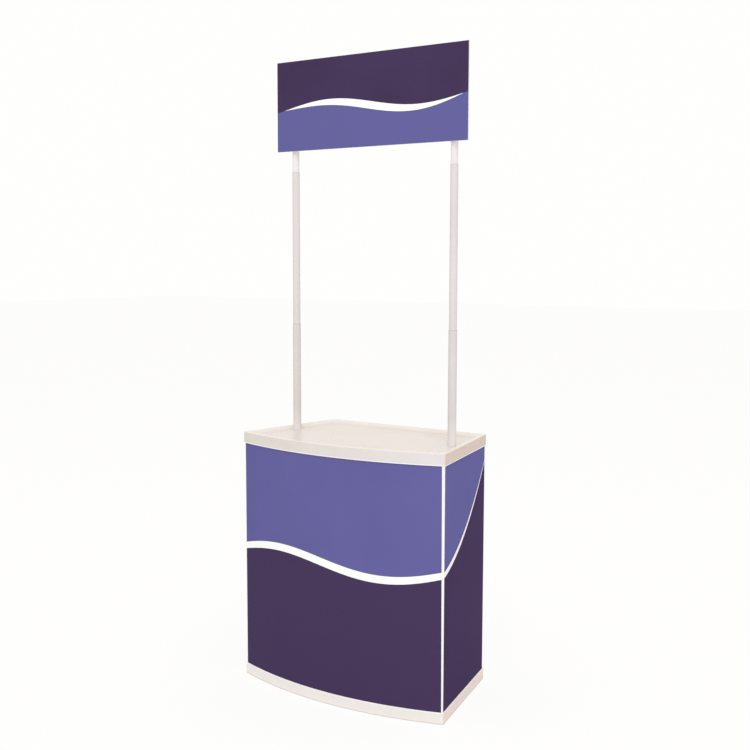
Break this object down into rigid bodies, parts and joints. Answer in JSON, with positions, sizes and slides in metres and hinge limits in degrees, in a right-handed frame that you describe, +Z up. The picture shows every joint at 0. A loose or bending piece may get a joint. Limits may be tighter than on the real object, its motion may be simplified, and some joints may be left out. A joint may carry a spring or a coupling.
{
  "type": "exhibition counter",
  "caption": "Knock-down exhibition counter with a bowed printed front, open back, loose shelf, and plug-in poles that carry a flat header sign.",
  "frame": {"origin": "On the floor, under the middle of the counter's plan, which is the middle of the bounding box.", "axes": "+X to the right seen from the front, +Y to the open back, +Z up; the bowed front faces -Y."},
  "size_m": [0.8024, 0.4906, 2.122],
  "materials": {
    "moulded_white": "moulded ABS, fine satin grain",
    "sheet_white": "flat PVC sheet, matte",
    "print_film": "laminated print, two violets with a white stripe",
    "post_white": "extruded PVC, satin",
    "pole_white": "powder-coated steel tube",
    "tube_white": "powder-coated steel tube",
    "fastener_steel": "zinc-plated steel"
  },
  "bodies": {
    "base": {"base_tray": "moulded_white"},
    "walls": {"front_panel": "sheet_white", "side_panel_left": "sheet_white", "side_panel_right": "sheet_white", "front_graphic": "print_film", "side_graphic_left": "print_film", "side_graphic_right": "print_film", "corner_post_left": "post_white", "corner_post_right": "post_white", "rear_post_left": "tube_white", "rear_post_right": "tube_white", "shelf_bracket_front_left": "fastener_steel", "shelf_bracket_front_right": "fastener_steel", "shelf_bracket_rear_left": "fastener_steel", "shelf_bracket_rear_right": "fastener_steel", "bracket_rivet_front_left_1": "fastener_steel", "bracket_rivet_front_left_2": "fastener_steel", "bracket_rivet_front_right_1": "fastener_steel", "bracket_rivet_front_right_2": "fastener_steel", "bracket_rivet_rear_left_1": "fastener_steel", "bracket_rivet_rear_left_2": "fastener_steel", "bracket_rivet_rear_right_1": "fastener_steel", "bracket_rivet_rear_right_2": "fastener_steel"},
    "shelf": {"shelf": "sheet_white"},
    "top": {"counter_top": "moulded_white", "pole_socket_left": "moulded_white", "pole_socket_right": "moulded_white", "socket_screw_left_1": "fastener_steel", "socket_screw_left_2": "fastener_steel", "socket_screw_left_3": "fastener_steel", "socket_screw_right_1": "fastener_steel", "socket_screw_right_2": "fastener_steel", "socket_screw_right_3": "fastener_steel"},
    "lower_poles": {"lower_pole_left": "pole_white", "lower_pole_right": "pole_white", "pole_stop_left": "moulded_white", "pole_stop_right": "moulded_white"},
    "upper_poles": {"upper_pole_left": "pole_white", "upper_pole_right": "pole_white", "header_stop_left": "moulded_white", "header_stop_right": "moulded_white"},
    "header": {"header_board": "sheet_white", "header_graphic": "print_film", "header_tube_left": "tube_white", "header_tube_right": "tube_white", "header_tube_cap_left": "moulded_white", "header_tube_cap_right": "moulded_white", "header_clip_lower_left": "moulded_white", "header_clip_lower_right": "moulded_white", "header_clip_upper_left": "moulded_white", "header_clip_upper_right": "moulded_white", "clip_screw_lower_left_1": "fastener_steel", "clip_screw_lower_left_2": "fastener_steel", "clip_screw_lower_right_1": "fastener_steel", "clip_screw_lower_right_2": "fastener_steel", "clip_screw_upper_left_1": "fastener_steel", "clip_screw_upper_left_2": "fastener_steel", "clip_screw_upper_right_1": "fastener_steel", "clip_screw_upper_right_2": "fastener_steel"}
  },
  "joints": [
    {"name": "walls_lift", "type": "slide", "parent": "base", "child": "walls", "axis": [0, 0, 1], "range_m": [0, 0.06]},
    {"name": "shelf_lift", "type": "slide", "parent": "walls", "child": "shelf", "axis": [0, 0, 1], "range_m": [0, 0.3]},
    {"name": "top_lift", "type": "slide", "parent": "walls", "child": "top", "axis": [0, 0, 1], "range_m": [0, 0.12]},
    {"name": "poles_lower_lift", "type": "slide", "parent": "top", "child": "lower_poles", "axis": [0, 0, 1], "range_m": [0, 0.12]},
    {"name": "poles_upper_lift", "type": "slide", "parent": "lower_poles", "child": "upper_poles", "axis": [0, 0, 1], "range_m": [0, 0.1]},
    {"name": "header_lift", "type": "slide", "parent": "upper_poles", "child": "header", "axis": [0, 0, 1], "range_m": [0, 0.08]}
  ]
}
